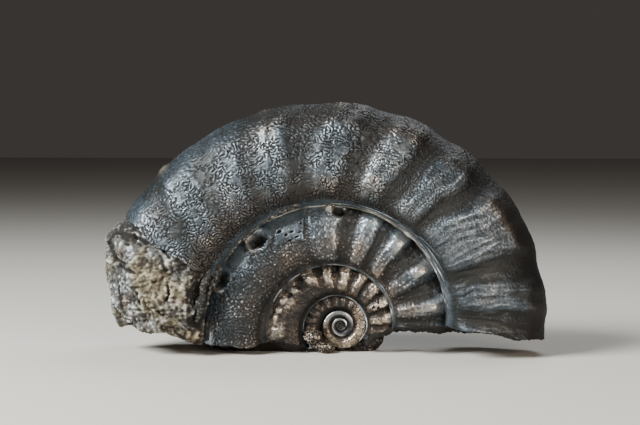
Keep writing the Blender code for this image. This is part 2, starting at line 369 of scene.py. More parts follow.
lastWhorl = dict(
    base=3.0, crests=(-4, 13, 31, 41, 57, 74, 92, 111, 125, 140, 156),
    ribHeight=0.78, ribWidth=6.0, lean=9.0,  # mm, degrees, degrees
    sway=(1.1, 3.2, 11),  # of the ribs, in degrees, then mm between bends, then the noise's seed
    swelling=0.34, swellingShare=0.84,  # blunt knots where the ribs reach the venter
    ribletPitch=2.9, riblets=0.022,  # degrees, mm
    sutureDepth=0.17, grit=0.055, wrinkles=0.05,  # mm
    sutures=(0, 40, 24.0, 16.0),  # degrees on, degrees more at the back, radius and flank in mm
    knobs=((90, 0.5), (110, 0.5), (138.6, 1.0)), knobHeight=0.3,
    knobHalf=(1.6, 1.4), knobY=-1.6,  # degrees and mm, mm
    mouth=157.0, mouthLean=4.5, splits=(49.0, 101.5), raggedMouth=0.8,  # degrees
    frontStep=0.105, backStep=0.21, alongStep=0.115,
)
middleWhorl = dict(
    base=2.0, crests=(-6, 14, 35, 56, 74, 95, 103, 135, 157, 176, 196),
    ribHeight=0.48, ribWidth=6.4, lean=4.0, sway=(0.9, 2.2, 13),
    faded=(103, 112),  # degrees over which the ribs fade out
    tips=(14.5, 36.5, 56), tipHeight=0.4, tipShare=0.62,  # cut-off rib ends
    hollow=0.26, hollowPlaces=(3.2, 4.8, 5.7, 15.0), hollowShare=(0.52, 0.74),  # mm, degrees, share
    plate=dict(right=107.6, left=125.5, slant=14.0, low=0.42, high=1.0, rise=0.1),
    ribletPitch=3.3, riblets=0.015, sutureDepth=0.07, sutures=(7, 30, 15.0, 10.0),
    frontStep=0.095, backStep=0.2, alongStep=0.115,
    # degrees, share, half sizes in mm, mm high, then tone, warm and pale; a negative tone in a hole or
    # hollow is painted shade
    spots=(
        (72.8, 0.72, 1.1, 0.85, 0.32, 0.26, -1.0),  # smooth pale-blue swelling
        (94.4, 0.78, 0.6, 0.5, 0.6, 0.25, 0.2, 0.6),  # cone with a pale tip, and its pit, darkened with painted shade
        (90.2, 0.74, 0.75, 0.62, -0.75, -0.25, 0.3),
        (144.4, 0.68, 1.2, 1.0, 0.1, 0.18, -0.7),  # bluish smooth shell between the pits
        (148.5, 0.6, 1.9, 1.3, 0.06, 0.1, -0.6),
        (121.4, 0.63, 0.26, 0.16, -0.3, -0.4),  # holes in the smooth plate, darkened with painted shade
        (115.6, 0.56, 0.26, 0.1, -0.25, -0.4), (111.6, 0.52, 0.18, 0.1, -0.22, -0.4),
        (118.6, 0.46, 0.24, 0.1, -0.24, -0.3), (114.2, 0.47, 0.26, 0.1, -0.3, -0.4),
        (119.0, 0.55, 0.16, 0.16, -0.3, -0.4), (109.6, 0.63, 0.14, 0.14, -0.2, -0.3),
        (158.4, 0.77, 0.42, 0.26, -0.45, -0.45), (155.8, 0.85, 0.45, 0.4, 0.3, 0.3, 0.5, 0.6),
        (135.4, 0.88, 0.9, 0.35, 0.25, 0.25, 0.4, 0.6),  # crumbs on the first pit's rim
        (184.5, 0.77, 1.1, 0.9, 0.3, 0.16, -0.9),  # bluish splintered foot
        (183.8, 0.72, 1.0, 0.1, 0.1, 0.22, -0.9, 0.4), (181.6, 0.78, 0.3, 0.35, 0.08, 0.15, -0.9, 0.2),
        (177.0, 0.93, 0.85, 1.1, -0.5, -0.55, 0.3),  # hollow beside the rock, darkened with painted shade
    ),
    # open tubercles: degrees, share, half sizes and depth in mm, rim height in mm
    pits=((132.4, 0.69, 1.45, 1.15, 0.65, 0.4), (157.5, 0.74, 1.45, 1.0, 0.24, 0.2)),
)
innerWhorl = dict(
    base=1.0, crests=(-8, 11, 30, 48, 66, 85, 103, 122, 141, 155, 165, 173, 186),
    ribHeight=0.38, ribWidth=7.6, lean=2.0, sway=(1.4, 1.1, 15),
    hollow=0.05, hollowPlaces=(4.0, 5.6, 6.5, 13.0), hollowShare=(0.52, 0.72),
    frontStep=0.065, backStep=0.12, alongStep=0.075,
    spots=(
        (121.6, 0.56, 0.5, 0.45, 0.3, 0.35, 0.3, 0.25), (141.0, 0.55, 0.45, 0.45, 0.25, 0.2, -0.5),
        (147.5, 0.56, 0.3, 0.3, -0.2, -0.2), (155.2, 0.61, 0.45, 0.45, 0.28, 0.25, 0.3, 0.1),
        (164.6, 0.61, 0.38, 0.42, 0.28, 0.45, 0.0, 0.45), (171.8, 0.62, 0.5, 0.3, 0.25, 0.3, 0.3, 0.3),
        # lighter spots on the rib crests: painted highlight
        (103.2, 0.5, 0.5, 0.8, 0.14, 0.13, 0.2), (85.0, 0.48, 0.5, 0.85, 0.14, 0.18, 0.2),
        (65.5, 0.48, 0.52, 0.85, 0.14, 0.13, 0.1), (46.5, 0.48, 0.52, 0.85, 0.14, 0.13),
        (29.8, 0.43, 0.7, 0.9, 0.15, 0.15, 0.4, 0.1), (10.0, 0.34, 0.75, 1.0, 0.12, 0.16, 0.3, 0.1),
        (31.0, 0.34, 0.18, 0.18, -0.2, -0.4),  # pits in the lowest right lumps, darkened with painted shade
        (27.0, 0.46, 0.2, 0.16, -0.2, -0.4), (24.0, 0.36, 0.14, 0.14, -0.16, -0.3),
        (33.0, 0.52, 0.14, 0.14, -0.16, -0.3),
    ),
)


def ribWave(angle, crests, width):
    # bells on the crests, joined without a crease and steepened: 0 in a furrow to 1 on a crest
    furrow = np.ones(np.shape(angle))
    for crest in crests:
        furrow = furrow * (1 - bell(angle - crest, width))
    return smooth(1 - furrow, 0.08, 0.92)


def hollows(angle, share, crests, spec):
    # dips beside rib ends: a sharp edge on the crest's younger side, then a slow rise
    start, edge, deepest, end = spec["hollowPlaces"]
    dip = np.zeros(np.broadcast(angle, share).shape)
    for crest in crests:
        past = crest - angle
        dip = np.maximum(dip, smooth(past, start, edge) * smooth(past, end, deepest))
    return dip * smooth(share, *spec["hollowShare"])


def speckle(points, size, seed):
    # small grains that stand out, 1 at a grain's middle
    return smooth(grains(points, size, seed)[0], 0.34, 0.14)


def lastRelief(spec, points, angle, share, leaning, wave, total):
    older = smooth(angle, 20, 105)
    body = smooth(share, 0.05, 0.22) * (1 - 0.3 * smooth(share, 0.75, 1.0))
    body = body * (1 - 0.5 * smooth(angle, 80, 115)) * (1 - 0.28 * smooth(angle, 40, 16))
    broad = lumpNoise(points, 5.0, 45)
    patch = lumpNoise(points, 3.4, 41) + 0.5 * lumpNoise(points, 1.1, 43)
    comb = np.cos(2 * np.pi * leaning / spec["ribletPitch"] + 2.0 * lumpNoise(points, 2.6, 21))
    comb = comb * smooth(share, 0.12, 0.3) * smooth(share, 0.92, 0.72) * (1 - 0.6 * older)
    shoulder = smooth(angle, 104, 120) * smooth(share + 0.06 * patch, 0.74, 0.86)
    groove = sutureAt(points, angle, share, total["front"], *spec["sutures"])
    groove = groove * smooth(share, 0.02, 0.08) * (0.25 + 0.75 * older) * (1 - 0.6 * shoulder)
    groove = groove * smooth(patch, 1.1, 0.5) * smooth(lumpNoise(points, 0.9, 49), -0.75, 0.1)
    gritty = lumpNoise(points, 1.7, 35) + 0.6 * smooth(share, 0.7, 0.9)
    grit = speckle(points, 0.75, 33) * smooth(gritty, 0.0, 0.5)
    grit = grit * (0.5 + 0.5 * older)
    dents = 0.13 * lumpNoise(points, 2.0, 61) + (0.02 + 0.03 * older) * fractal(points, 0.45, 2, 51)
    # growth wrinkles along the ribs: noise drawn out from seam to venter
    across = 0.8 * leaning + 0.7 * lumpNoise(points, 1.5, 99)
    drawn = np.stack(np.broadcast_arrays(across, 4.5 * share, 0 * leaning), -1)
    wrinkle = fractal(drawn, 1.0, 2, 97) * smooth(share, 0.06, 0.2) * smooth(share, 0.95, 0.75)
    wrinkle = wrinkle * (1 - 0.75 * older)
    knob = np.zeros(np.shape(angle))
    for spot, size in spec["knobs"]:
        beside = bell(points[..., 1] - spec["knobY"], spec["knobHalf"][1])
        knob = np.maximum(knob, size * bell(angle - spot, spec["knobHalf"][0]) * beside)
    total["rise"] = (
        spec["ribHeight"] * body * (wave - 0.5) * (0.85 + 0.3 * lumpNoise(points, 6.0, 2))
        + spec["swelling"] * bell(share - spec["swellingShare"], 0.075) * wave ** 2 * (1 - 0.5 * shoulder)
        + spec["riblets"] * comb - spec["sutureDepth"] * groove + spec["grit"] * grit
        + spec["knobHeight"] * knob + body * dents + spec["wrinkles"] * wrinkle
    )
    # tone: the rib wave gives crests a painted highlight and furrows painted shade; suture grooves get
    # painted shade with a painted highlight along their edges; the term near the seam lifts the wall as
    # painted light against its shade; darker toward the venter
    total["tone"] = (
        0.35 + 0.22 * (wave - 0.55) * body + 0.12 * broad + 0.03 * wrinkle
        - 0.18 * groove + 0.1 * bell(groove - 0.3, 0.2)
        - 0.02 * smooth(share, 0.32, 0.06) - 0.2 * smooth(share, 0.76, 0.9) * (1 - shoulder)
        + 0.04 * shoulder + 0.08 * smooth(share, 0.12, 0.04)
    )
    total["warm"] = (
        0.12 + 0.45 * smooth(share, 0.38, 0.18) * older
        + 0.5 * smooth(share, 0.74, 0.86) * (1 - shoulder) - 0.35 * shoulder
        + 0.3 * broad - 0.25 * smooth(patch, 0.1, 0.6) * older - 0.15 * wave * body
    )
    total["pale"] = 0.8 * knob
    total["wall"] = smooth(share + 0.03 * lumpNoise(points, 0.9, 47), 0.1, 0.04)


def middleRelief(spec, points, angle, share, leaning, wave, total):
    plan = spec["plate"]
    shown = smooth(share, 0.03, 0.14)
    ribbed = smooth(angle, spec["faded"][1], spec["faded"][0])
    tip = np.zeros(np.shape(leaning))
    for crest in spec["tips"]:
        tip = np.maximum(tip, smooth(leaning - crest, -3.6, -2.0) * smooth(leaning - crest, 5.5, 1.5))
    tip = tip * bell(share - spec["tipShare"], 0.11)
    dip = spec["hollow"] * hollows(leaning, share, spec["tips"], spec)
    comb = np.cos(2 * np.pi * leaning / spec["ribletPitch"] + 1.2 * lumpNoise(points, 1.8, 23))
    comb = comb * smooth(share, 0.1, 0.25) * ribbed
    ragged = 1.1 * fractal(points, 1.3, 3, 27)
    slant = plan["slant"] * (0.71 - share)
    plate = smooth(angle - slant + ragged, plan["right"] - 0.3, plan["right"] + 0.4)
    plate = plate * smooth(angle - slant + 2 * ragged, plan["left"] + 1, plan["left"] - 3)
    plate = plate * smooth(share + 0.06 * ragged, plan["low"], plan["low"] + 0.07)
    plate = plate * smooth(share, plan["high"], plan["high"] - 0.04) * total["front"]
    groove = sutureAt(points, angle, share, total["front"], *spec["sutures"]) * (1 - plate)
    smoothShare = share + 0.13 * smooth(angle, 168, 154)  # the smooth part is wider by the pits
    groove = groove * smooth(share, 0.06, 0.16) * smooth(smoothShare, 0.84, 0.68)
    groove = groove * (0.2 + 0.8 * smooth(angle, 96, 112))
    grit = speckle(points, 0.55, 37) * (0.4 + 0.6 * smooth(share, 0.55, 0.35)) * (1 - plate)
    total["rise"] = (
        spec["ribHeight"] * shown * (wave - 0.5) * (0.2 + 0.8 * ribbed) - dip + spec["tipHeight"] * tip
        + spec["riblets"] * comb + plan["rise"] * plate - spec["sutureDepth"] * groove + 0.08 * grit
        + shown * (1 - plate) * (0.07 * lumpNoise(points, 1.3, 63) + 0.04 * fractal(points, 0.35, 3, 53))
    )
    broad = lumpNoise(points, 3.0, 65)
    low = smooth(share, 0.5, 0.25)
    # tone: lighter toward the outer seam as painted light against the shade of the last whorl's wall; the
    # rib wave gives crests a painted highlight and furrows painted shade; hollows and suture grooves get
    # painted shade
    total["tone"] = (
        0.43 + 0.17 * smooth(share, 0.5, 0.75) + 0.24 * (wave - 0.55) * shown * ribbed
        - 0.05 * dip + 0.2 * tip + 0.12 * broad
        - 0.08 * groove + 0.08 * (grit - 0.2) + 0.06 * plate - 0.04 * low
    )
    total["warm"] = 0.12 + 0.28 * low - 0.5 * plate + 0.35 * broad + 0.1 * tip
    total["pale"] = 0.2 * tip
    total["wall"] = 0.6 * smooth(share, 0.07, 0.02)
    radius, reach = np.hypot(points[..., 0], points[..., 2]), total["reach"]
    for pitAngle, pitShare, halfAlong, halfAcross, depth, lip in spec["pits"]:
        along = np.radians(angle - pitAngle) * radius / halfAlong
        across = (share - pitShare) * reach / halfAcross
        gap = np.hypot(along, across) + 0.1 * lumpNoise(points, 0.6, 25)
        hole = smooth(gap, 1.05, 0.15) * total["front"]
        # the rim is lighter and paler on one side, pale shell with a painted highlight on it; the hole is
        # darker as painted shade
        rim = bell(gap - 1.15, 0.2) * (0.25 + 0.75 * smooth(along + across, -0.5, 1.0)) * total["front"]
        total["rise"] = total["rise"] * (1 - 0.7 * hole) - depth * hole + lip * rim
        total["tone"] += 0.25 * rim - 0.07 * hole
        total["warm"] += 0.2 * hole
        total["pale"] += 0.8 * rim * smooth(along + across, 0.2, 1.2)
    addSpots(total, (angle, np.radians(1) * radius), (share, reach), spec["spots"])


def innerRelief(spec, points, angle, share, leaning, wave, total):
    edge = bell(share - 0.7, 0.16)  # where the ribs reach the seam
    late = smooth(angle, 106, 124)  # here only short knots are left of the ribs
    ribbed = smooth(share, 0.06 + 0.26 * late, 0.26 + 0.2 * late)
    dip = spec["hollow"] * hollows(leaning, share, spec["crests"], spec)
    gritty = 0.07 * fractal(points, 0.55, 3, 55) + 0.06 * speckle(points, 0.45, 39)
    total["rise"] = (
        spec["ribHeight"] * ribbed * (wave - 0.5) - dip + 0.22 * edge * wave
        + smooth(share, 0.02, 0.1) * gritty
    )
    broad = lumpNoise(points, 1.6, 67)
    # tone: the rib wave gives crests a painted highlight and furrows painted shade; the edge term lifts the
    # rib ends by the outer seam as painted light against the shade there
    total["tone"] = (
        0.35 + 0.18 * (wave - 0.5) * ribbed + 0.14 * edge * np.maximum(wave, late)
        + 0.16 * broad - 0.04 * smooth(share, 0.3, 0.1)
        + late * (0.12 * bell(share - 0.8, 0.09) - 0.05 * smooth(share, 0.5, 0.3))
    )
    total["warm"] = 0.6 + 0.4 * broad - 0.25 * late
    total["pale"] = 0 * wave
    total["wall"] = 0.6 * smooth(share, 0.08, 0.02)
    radius = np.hypot(points[..., 0], points[..., 2])
    addSpots(total, (angle, np.radians(1) * radius), (share, total["reach"]), spec["spots"])


overColumns, underColumns = 12, 8


def whorlColumns(spec, middleTurn):
    # columns round a whorl: front flank, over the venter if it is covered, back flank, underneath
    covered = spec["base"] < coil["freeTurn"]
    last = float(seamShare(middleTurn)) if covered else 1.0
    front = spacedShares(middleTurn, last, spec["frontStep"])
    back = spacedShares(middleTurn, last, spec["backStep"])[::-1]
    over = np.linspace(0, np.pi, overColumns + 2)[1:-1]
    under = np.linspace(np.pi, 0, underColumns + 2)[1:-1]
    if not covered:
        return [("front", front), ("back", back[1:]), ("under", under)]
    return [("front", front), ("over", over), ("back", back), ("under", under)]


def whorlSection(angle, base, columns):
    # points of the plain whorl, one row for each row of angles
    turn = angle / 360 + base
    points, start = [], 0
    for kind, values in columns:
        part = turn[:, start:start + len(values)]
        if kind in ("front", "back"):
            radius, y = flank(part, values)
            y = -y if kind == "front" else y
        elif kind == "over":
            radius, y = overVenter(part, values, 0)
        else:
            radius, y = overVenter(part - 1, values, -coil["bedding"])
        points.append(place(radius, y, angle[:, start:start + len(values)]))
        start += len(values)
    return np.concatenate(points, 1)


whorlEnds = (-25.0, 60.0), (120.0, 215.0)  # degrees between which a whorl meets the break
halvings = 26


def breakAngle(section, count, ends, rising):
    # the angle at which each column meets the break, by halving the interval
    low, high = (np.full((1, count), end) for end in ends)
    for _ in range(halvings):
        middle = (low + high) / 2
        points = section(middle)
        above = points[..., 2] > np.maximum(breakHeight(points[..., 0], points[..., 1]), -coil["z"])
        goOn = above if not rising else ~above
        low, high = np.where(goOn, middle, low), np.where(goOn, high, middle)
    return (low + high) / 2


# mm between a cap's rows, and the powers by which they close up and the rim's height fades
capPlan = dict(step=0.22, spacing=0.85, fading=8)
# every cap carries the broken mark, which paints it near-black as shadow
capMarks = dict(tone=0.35, warm=1.0, pale=0.0, wall=0.0, broken=1.0)
whorlRubAndShading, lumpRubAndShading = (1.9, 0.35), (0.8, 0.2)  # gains of tone for each mm above near and wide surroundings: rubbed wear with painted highlight and shade


def capRows(ring, count, broken):
    # rows from an open end ring in to its middle, on the break or on a plain wall
    middle = ring.mean(0)
    inward = np.linspace(1, 0, count + 1)[1:, None, None] ** capPlan["spacing"]
    rows = middle + (ring - middle) * inward
    if broken:
        edge = ring[:, 2] - onBreak(ring[:, 0], ring[:, 1])
        rows[..., 2] = onBreak(rows[..., 0], rows[..., 1]) + edge * inward[..., 0] ** capPlan["fading"]
    return rows


def makeWhorl(spec, relief):
    # plain section, then relief along its normals, then caps; splits part one grid into more shells
    middleTurn = spec["base"] + 0.25
    columns = whorlColumns(spec, middleTurn)
    kinds = np.concatenate([np.full(len(values), kind) for kind, values in columns])

    def section(angle):
        return whorlSection(angle, spec["base"], columns)

    count, hasMouth = len(kinds), "mouth" in spec
    share = np.concatenate([values * (kind in ("front", "back")) for kind, values in columns])
    lowEnd = breakAngle(section, count, whorlEnds[0], True)
    if hasMouth:
        highEnd = spec["mouth"] - spec["mouthLean"] * share[None, :]
        highEnd = highEnd + spec["raggedMouth"] * fractal(section(highEnd), 1.6, 2, 19)
    else:
        highEnd = breakAngle(section, count, whorlEnds[1], False)
    middleRadius = float(flank(middleTurn, 0.55)[0])
    rows = int(np.radians(float((highEnd - lowEnd).max())) * middleRadius / spec["alongStep"])
    angle = lowEnd + (highEnd - lowEnd) * np.linspace(0, 1, rows + 1)[:, None]
    points = section(angle)
    turn = angle / 360 + spec["base"]
    total = dict(front=1.0 * (kinds == "front")[None, :], reach=venterRadius(turn) - seamRadius(turn - 1))
    amount, size, seed = spec["sway"]
    share = share[None, :]
    leaning = angle + spec["lean"] * (share - 0.5) + amount * lumpNoise(points, size, seed)
    wave = ribWave(leaning, spec["crests"], spec["ribWidth"])
    relief(spec, points, angle, share, leaning, wave, total)
    rubAndPaintedShading(total, *whorlRubAndShading)
    onFlank = np.isin(kinds, ("front", "back"))[None, :]
    points = points + surfaceNormals(points) * (total["rise"] * onFlank)[..., None]
    capCount = int(float(flank(middleTurn, 0.5)[1]) / capPlan["step"])
    splits = [int(np.abs(angle.mean(1) - split).argmin()) for split in spec.get("splits", ())]
    cuts = [0, *splits, rows]
    shells = []
    for low, high in zip(cuts, cuts[1:]):
        first = capRows(points[low], capCount, low == 0)[::-1]
        last = capRows(points[high], capCount, high == rows and not hasMouth)
        layers = {}
        for key, onCap in capMarks.items():
            value = np.broadcast_to(total.get(key, 0.0), points.shape[:2])[low:high + 1]
            cap = np.full(first.shape[:2], onCap)
            layers[key] = np.concatenate([cap, value, cap])
        shells.append(closedShell(np.concatenate([first, points[low:high + 1], last]), layers))
    return shells


# Nucleus: one full turn and the tiny whorls inside it, a disc with a coiled rope in relief
nucleus = dict(
    sectors=440, shares=88, bead=0.5,  # radius of the dark middle, mm
    crests=(64, 83, 102, 119, 138, 152, 168, 186), ribHeight=0.14, ribWidth=6.0,
    silver=(-1.98, -0.54), cream=(-0.6, -0.46, 0.12, 0.17),  # turns of the coil
    # rub: gains for rubbed wear with a painted highlight on what stands up and painted shade in what lies
    # low
    minWidth=0.2, sinking=0.85, seamWidth=0.2, rub=(2.2, 0.3),
)


def makeNucleus():
    # rings by share of the rim; the rope's height is the whorl section's, deeper beside each seam
    spec = nucleus
    angle = np.linspace(-170, 190, spec["sectors"], endpoint=False)[:, None]
    shares = np.linspace(0.02, 1.0, spec["shares"])
    share = np.concatenate([shares, shares[-2::-1]])[None, :]
    front = np.concatenate([np.full(len(shares), 1.0), np.full(len(shares) - 1, 0.0)])[None, :]
    side = 1 - 2 * front
    radius = seamRadius(angle / 360) * share
    turns = np.log2(np.maximum(radius, 0.05) / coil["seamStart"]) / coil["seamGrowth"]
    band = np.ceil(turns - angle / 360 - 1e-6) + angle / 360
    outer, inner = seamRadius(band), seamRadius(band - 1)
    across = np.clip((radius - inner) / (coil["overlap"] * outer - inner), 0, 1)
    width = coil["halfWidth"] * coil["overlap"] * outer * np.sqrt(1 - across ** 3)
    width = width * (1 - spec["sinking"] * np.exp(-across / spec["seamWidth"])) + 0.1
    points = place(radius, side * np.maximum(width, spec["minWidth"]), angle)
    wave = ribWave(angle + 0 * share, spec["crests"], spec["ribWidth"]) * smooth(band, 0.0, 0.06)
    wave = wave * smooth(across, 0.15, 0.35)
    start, end = spec["silver"]
    silver = smooth(band, start - 0.05, start) * smooth(band, end + 0.1, end)
    a, b, c, d = spec["cream"]
    cream = smooth(band, a, b) * smooth(band, d, c)
    middle = smooth(radius, spec["bead"], spec["bead"] - 0.12)
    near, second = grains(points, 0.95, 91)
    crack = smooth(second - near, 0.1, 0.02) * cream
    total = dict(front=front)
    total["rise"] = (
        spec["ribHeight"] * (wave - 0.3 * smooth(band, 0.0, 0.06)) - 0.06 * crack - 0.12 * middle
        + 0.03 * fractal(points, 0.4, 2, 57) * (1 - silver)
    )
    points = points + np.stack([0 * radius, side * total["rise"], 0 * radius], -1)
    crown = bell(across - 0.62, 0.24)
    toTopLeft = 0.5 + 0.5 * np.cos(np.radians(angle - 125))  # the outer silver turn carries its painted highlight there alone
    paintedTopLeftLight = 1 - 0.85 * smooth(band, -1.3, -1.1) * (1 - toTopLeft)
    toRight = 0.5 + 0.5 * np.cos(np.radians(angle - 10))
    # tone: the crown term is a painted highlight along the top of the silver rope, kept to the top-left on
    # the outer turn; the term by the seams is painted shade; the ribs get a painted highlight on their
    # crests; the cream is lighter toward the right
    total["tone"] = (
        0.34 + (0.44 * crown * paintedTopLeftLight - 0.12) * silver + (0.06 + 0.16 * toRight) * cream
        + 0.1 * (wave - 0.4) * smooth(band, 0.0, 0.06)
        + 0.1 * fractal(points, 0.9, 2, 59)
        - (0.4 + 0.12 * silver) * smooth(across, 0.26 + 0.14 * silver, 0.06)
        - 0.12 * middle - 0.3 * crack
    )
    total["warm"] = 0.55 - 0.55 * silver + 0.25 * cream - 0.5 * middle + 0.2 * lumpNoise(points, 0.9, 93)
    total["pale"] = (0.5 + 0.25 * toRight) * cream + 0.25 * wave * smooth(angle, 50, 20)
    rubAndPaintedShading(total, *spec["rub"])
    return closedShell(np.swapaxes(points, 0, 1), {key: total[key].T for key in ("tone", "warm", "pale")})


# Lumps of pyrite crumb under the nucleus: cube-like grains about 0.5 mm across
crumbs = (
    dict(middle=(-3.8, -1.1, -1.4), radii=(1.35, 1.9, 1.15), rough=0.3, grain=0.5, rows=120, columns=190),
    dict(middle=(-2.9, -0.6, -2.4), radii=(1.25, 1.9, 0.95), rough=0.3, grain=0.5, rows=110, columns=180),
    dict(middle=(-1.9, -1.4, -3.0), radii=(1.2, 1.7, 0.65), rough=0.2, grain=0.44, rows=100, columns=170),
)
remnant = dict(middle=(0.6, 2.2, -1.7), radii=(5.2, 2.3, 2.6), rough=0.35, grain=0.9, rows=110, columns=190)


def makeLump(spec, seed, pale, broken):
    # an ellipsoid by latitude and longitude; each grain is a flat-topped step of its own height
    polar = np.linspace(0.02, np.pi - 0.02, spec["rows"])[:, None]
    around = np.linspace(0, 2 * np.pi, spec["columns"], endpoint=False)[None, :]
    sides = np.sin(polar) * np.cos(around), np.cos(polar) + 0 * around, np.sin(polar) * np.sin(around)
    unit = np.stack(sides, -1)
    points = unit * spec["radii"] + spec["middle"]
    near, second = grains(points, spec["grain"], seed)
    step = smooth(second - near, 0.02, 0.22)
    rise = spec["rough"] * fractal(points, 1.3, 3, seed)
    total = dict(rise=rise + 0.26 * spec["grain"] * (step - 0.6) - 0.15 * near)
    points = points + unit * total["rise"][..., None]
    total["tone"] = 0.38 + 0.1 * step + 0.2 * fractal(points, 0.5, 2, seed + 5)
    rubAndPaintedShading(total, *lumpRubAndShading)
    return closedShell(points, dict(tone=total["tone"], warm=0.15, pale=pale * step, broken=broken))


# Strands of old shell along the seams, and crusts of crumb beside the outer one: the seam's turn, then
# first and last angle, mm outside the seam at both ends, half width in mm, cream 0 to 1, and 1 if crumbly
strands = dict(
    outerSeam=(2, (
        (3, 58, 0.1, 0.16, 0.15, 0.1), (38, 78, 0.3, 0.22, 0.3, 0.9),
        (50, 106, 0.1, 0.12, 0.12, 0.55), (78, 124, 0.14, 0.1, 0.13, 0.75),
        (3, 34, 0.5, 0.3, 0.12, 0.3), (20, 72, 0.75, 0.35, 0.11, 0.25),
        (28, 80, 1.15, 0.7, 0.09, 0.1), (62, 100, 0.55, 0.4, 0.1, 0.2),
        (36, 50, 1.6, 1.2, 0.08, 0.05),
        (106, 117, 0.8, 0.65, 0.42, 0.85, 1), (118, 126, 0.45, 0.3, 0.36, 0.8, 1),
        (127, 139, 0.4, 0.2, 0.36, 0.95, 1), (137, 150, 0.35, 0.25, 0.3, 0.7, 1),
        (151, 160, 0.5, 0.2, 0.55, 0.5, 1), (158, 172, 0.35, 0.2, 0.3, 0.6, 1),
        (154, 166, 1.2, 1.0, 0.55, 0.25, 1), (163, 177, 0.8, 0.9, 0.6, 0.15, 1),
    )),
    middleSeam=(1, (
        (-4, 104, 0.06, 0.08, 0.25, 0.08), (30, 84, 0.4, 0.2, 0.13, 0.15),
        (5, 40, 0.28, 0.3, 0.1, 0.3), (90, 188, 0.03, 0.04, 0.15, 0.05),
        (58, 74, 0.16, 0.16, 0.12, 0.7),
    )),
    innerSeam=(0, (
        (-14, 116, 0.03, 0.05, 0.2, 0.0), (90, 190, 0.04, 0.04, 0.11, 0.0),
        (-40, -8, 0.0, 0.02, 0.08, 0.3),
    )),
)
strand = dict(step=0.11, sides=10, crumbSides=30, crumb=0.42, wobble=0.07, lift=0.05, flatness=0.75)


def seamPoint(base, angle, outward):
    # radius and depth of the surface a little outside a seam, on whichever whorl stands higher
    turn = base + angle / 360
    covered = flank(turn, seamShare(turn))[1]
    share = np.clip(outward / (venterRadius(turn + 1) - seamRadius(turn)), 0, 1)
    return seamRadius(turn) + outward, np.maximum(covered * (outward < 0.3), flank(turn + 1, share)[1])


def makeStrand(base, start, end, outward0, outward1, half, cream, crumbly=0, seed=0):
    # a flattened tube along the seam, tapered at both ends, wandering a little
    spec = strand
    length = np.radians(end - start) * float(seamRadius(base + (start + end) / 720))
    rows = int(length / spec["step"]) + 8
    run = np.linspace(0, 1, rows)[:, None]
    angle = start + (end - start) * run
    guide = place(seamRadius(base + angle / 360), 0, angle)
    wander = spec["wobble"] * fractal(guide, 1.4, 2, seed) * (1 - 0.5 * crumbly)
    outward = outward0 + (outward1 - outward0) * run + wander
    radius, depth = seamPoint(base, angle, outward)
    size = half * (1 + 0.35 * lumpNoise(guide, 0.9, seed + 3))
    size = size * np.clip(np.sin(np.pi * run), 0.01, 1) ** 0.5
    sides = spec["crumbSides" if crumbly else "sides"]
    turn = np.linspace(0, 2 * np.pi, sides, endpoint=False)[None, :]
    height = depth + spec["lift"] + spec["flatness"] * size * np.sin(turn)
    points = place(radius + size * np.cos(turn), -height, angle)
    tone = 0.5 + 0.25 * lumpNoise(points, 1.6, seed + 7)
    pale = np.clip(cream + 0.35 * lumpNoise(points, 2.2, seed + 9), 0, 1)
    if crumbly:
        near = grains(points, spec["crumb"], seed)[0]
        points = points + (points - place(radius, -depth, angle)) * (0.75 * (0.55 - near))[..., None]
        tone = 0.62 - 0.75 * near + 0.1 * lumpNoise(points, 0.8, seed)
    return closedShell(points, dict(tone=tone, warm=0.25 * cream, pale=pale))


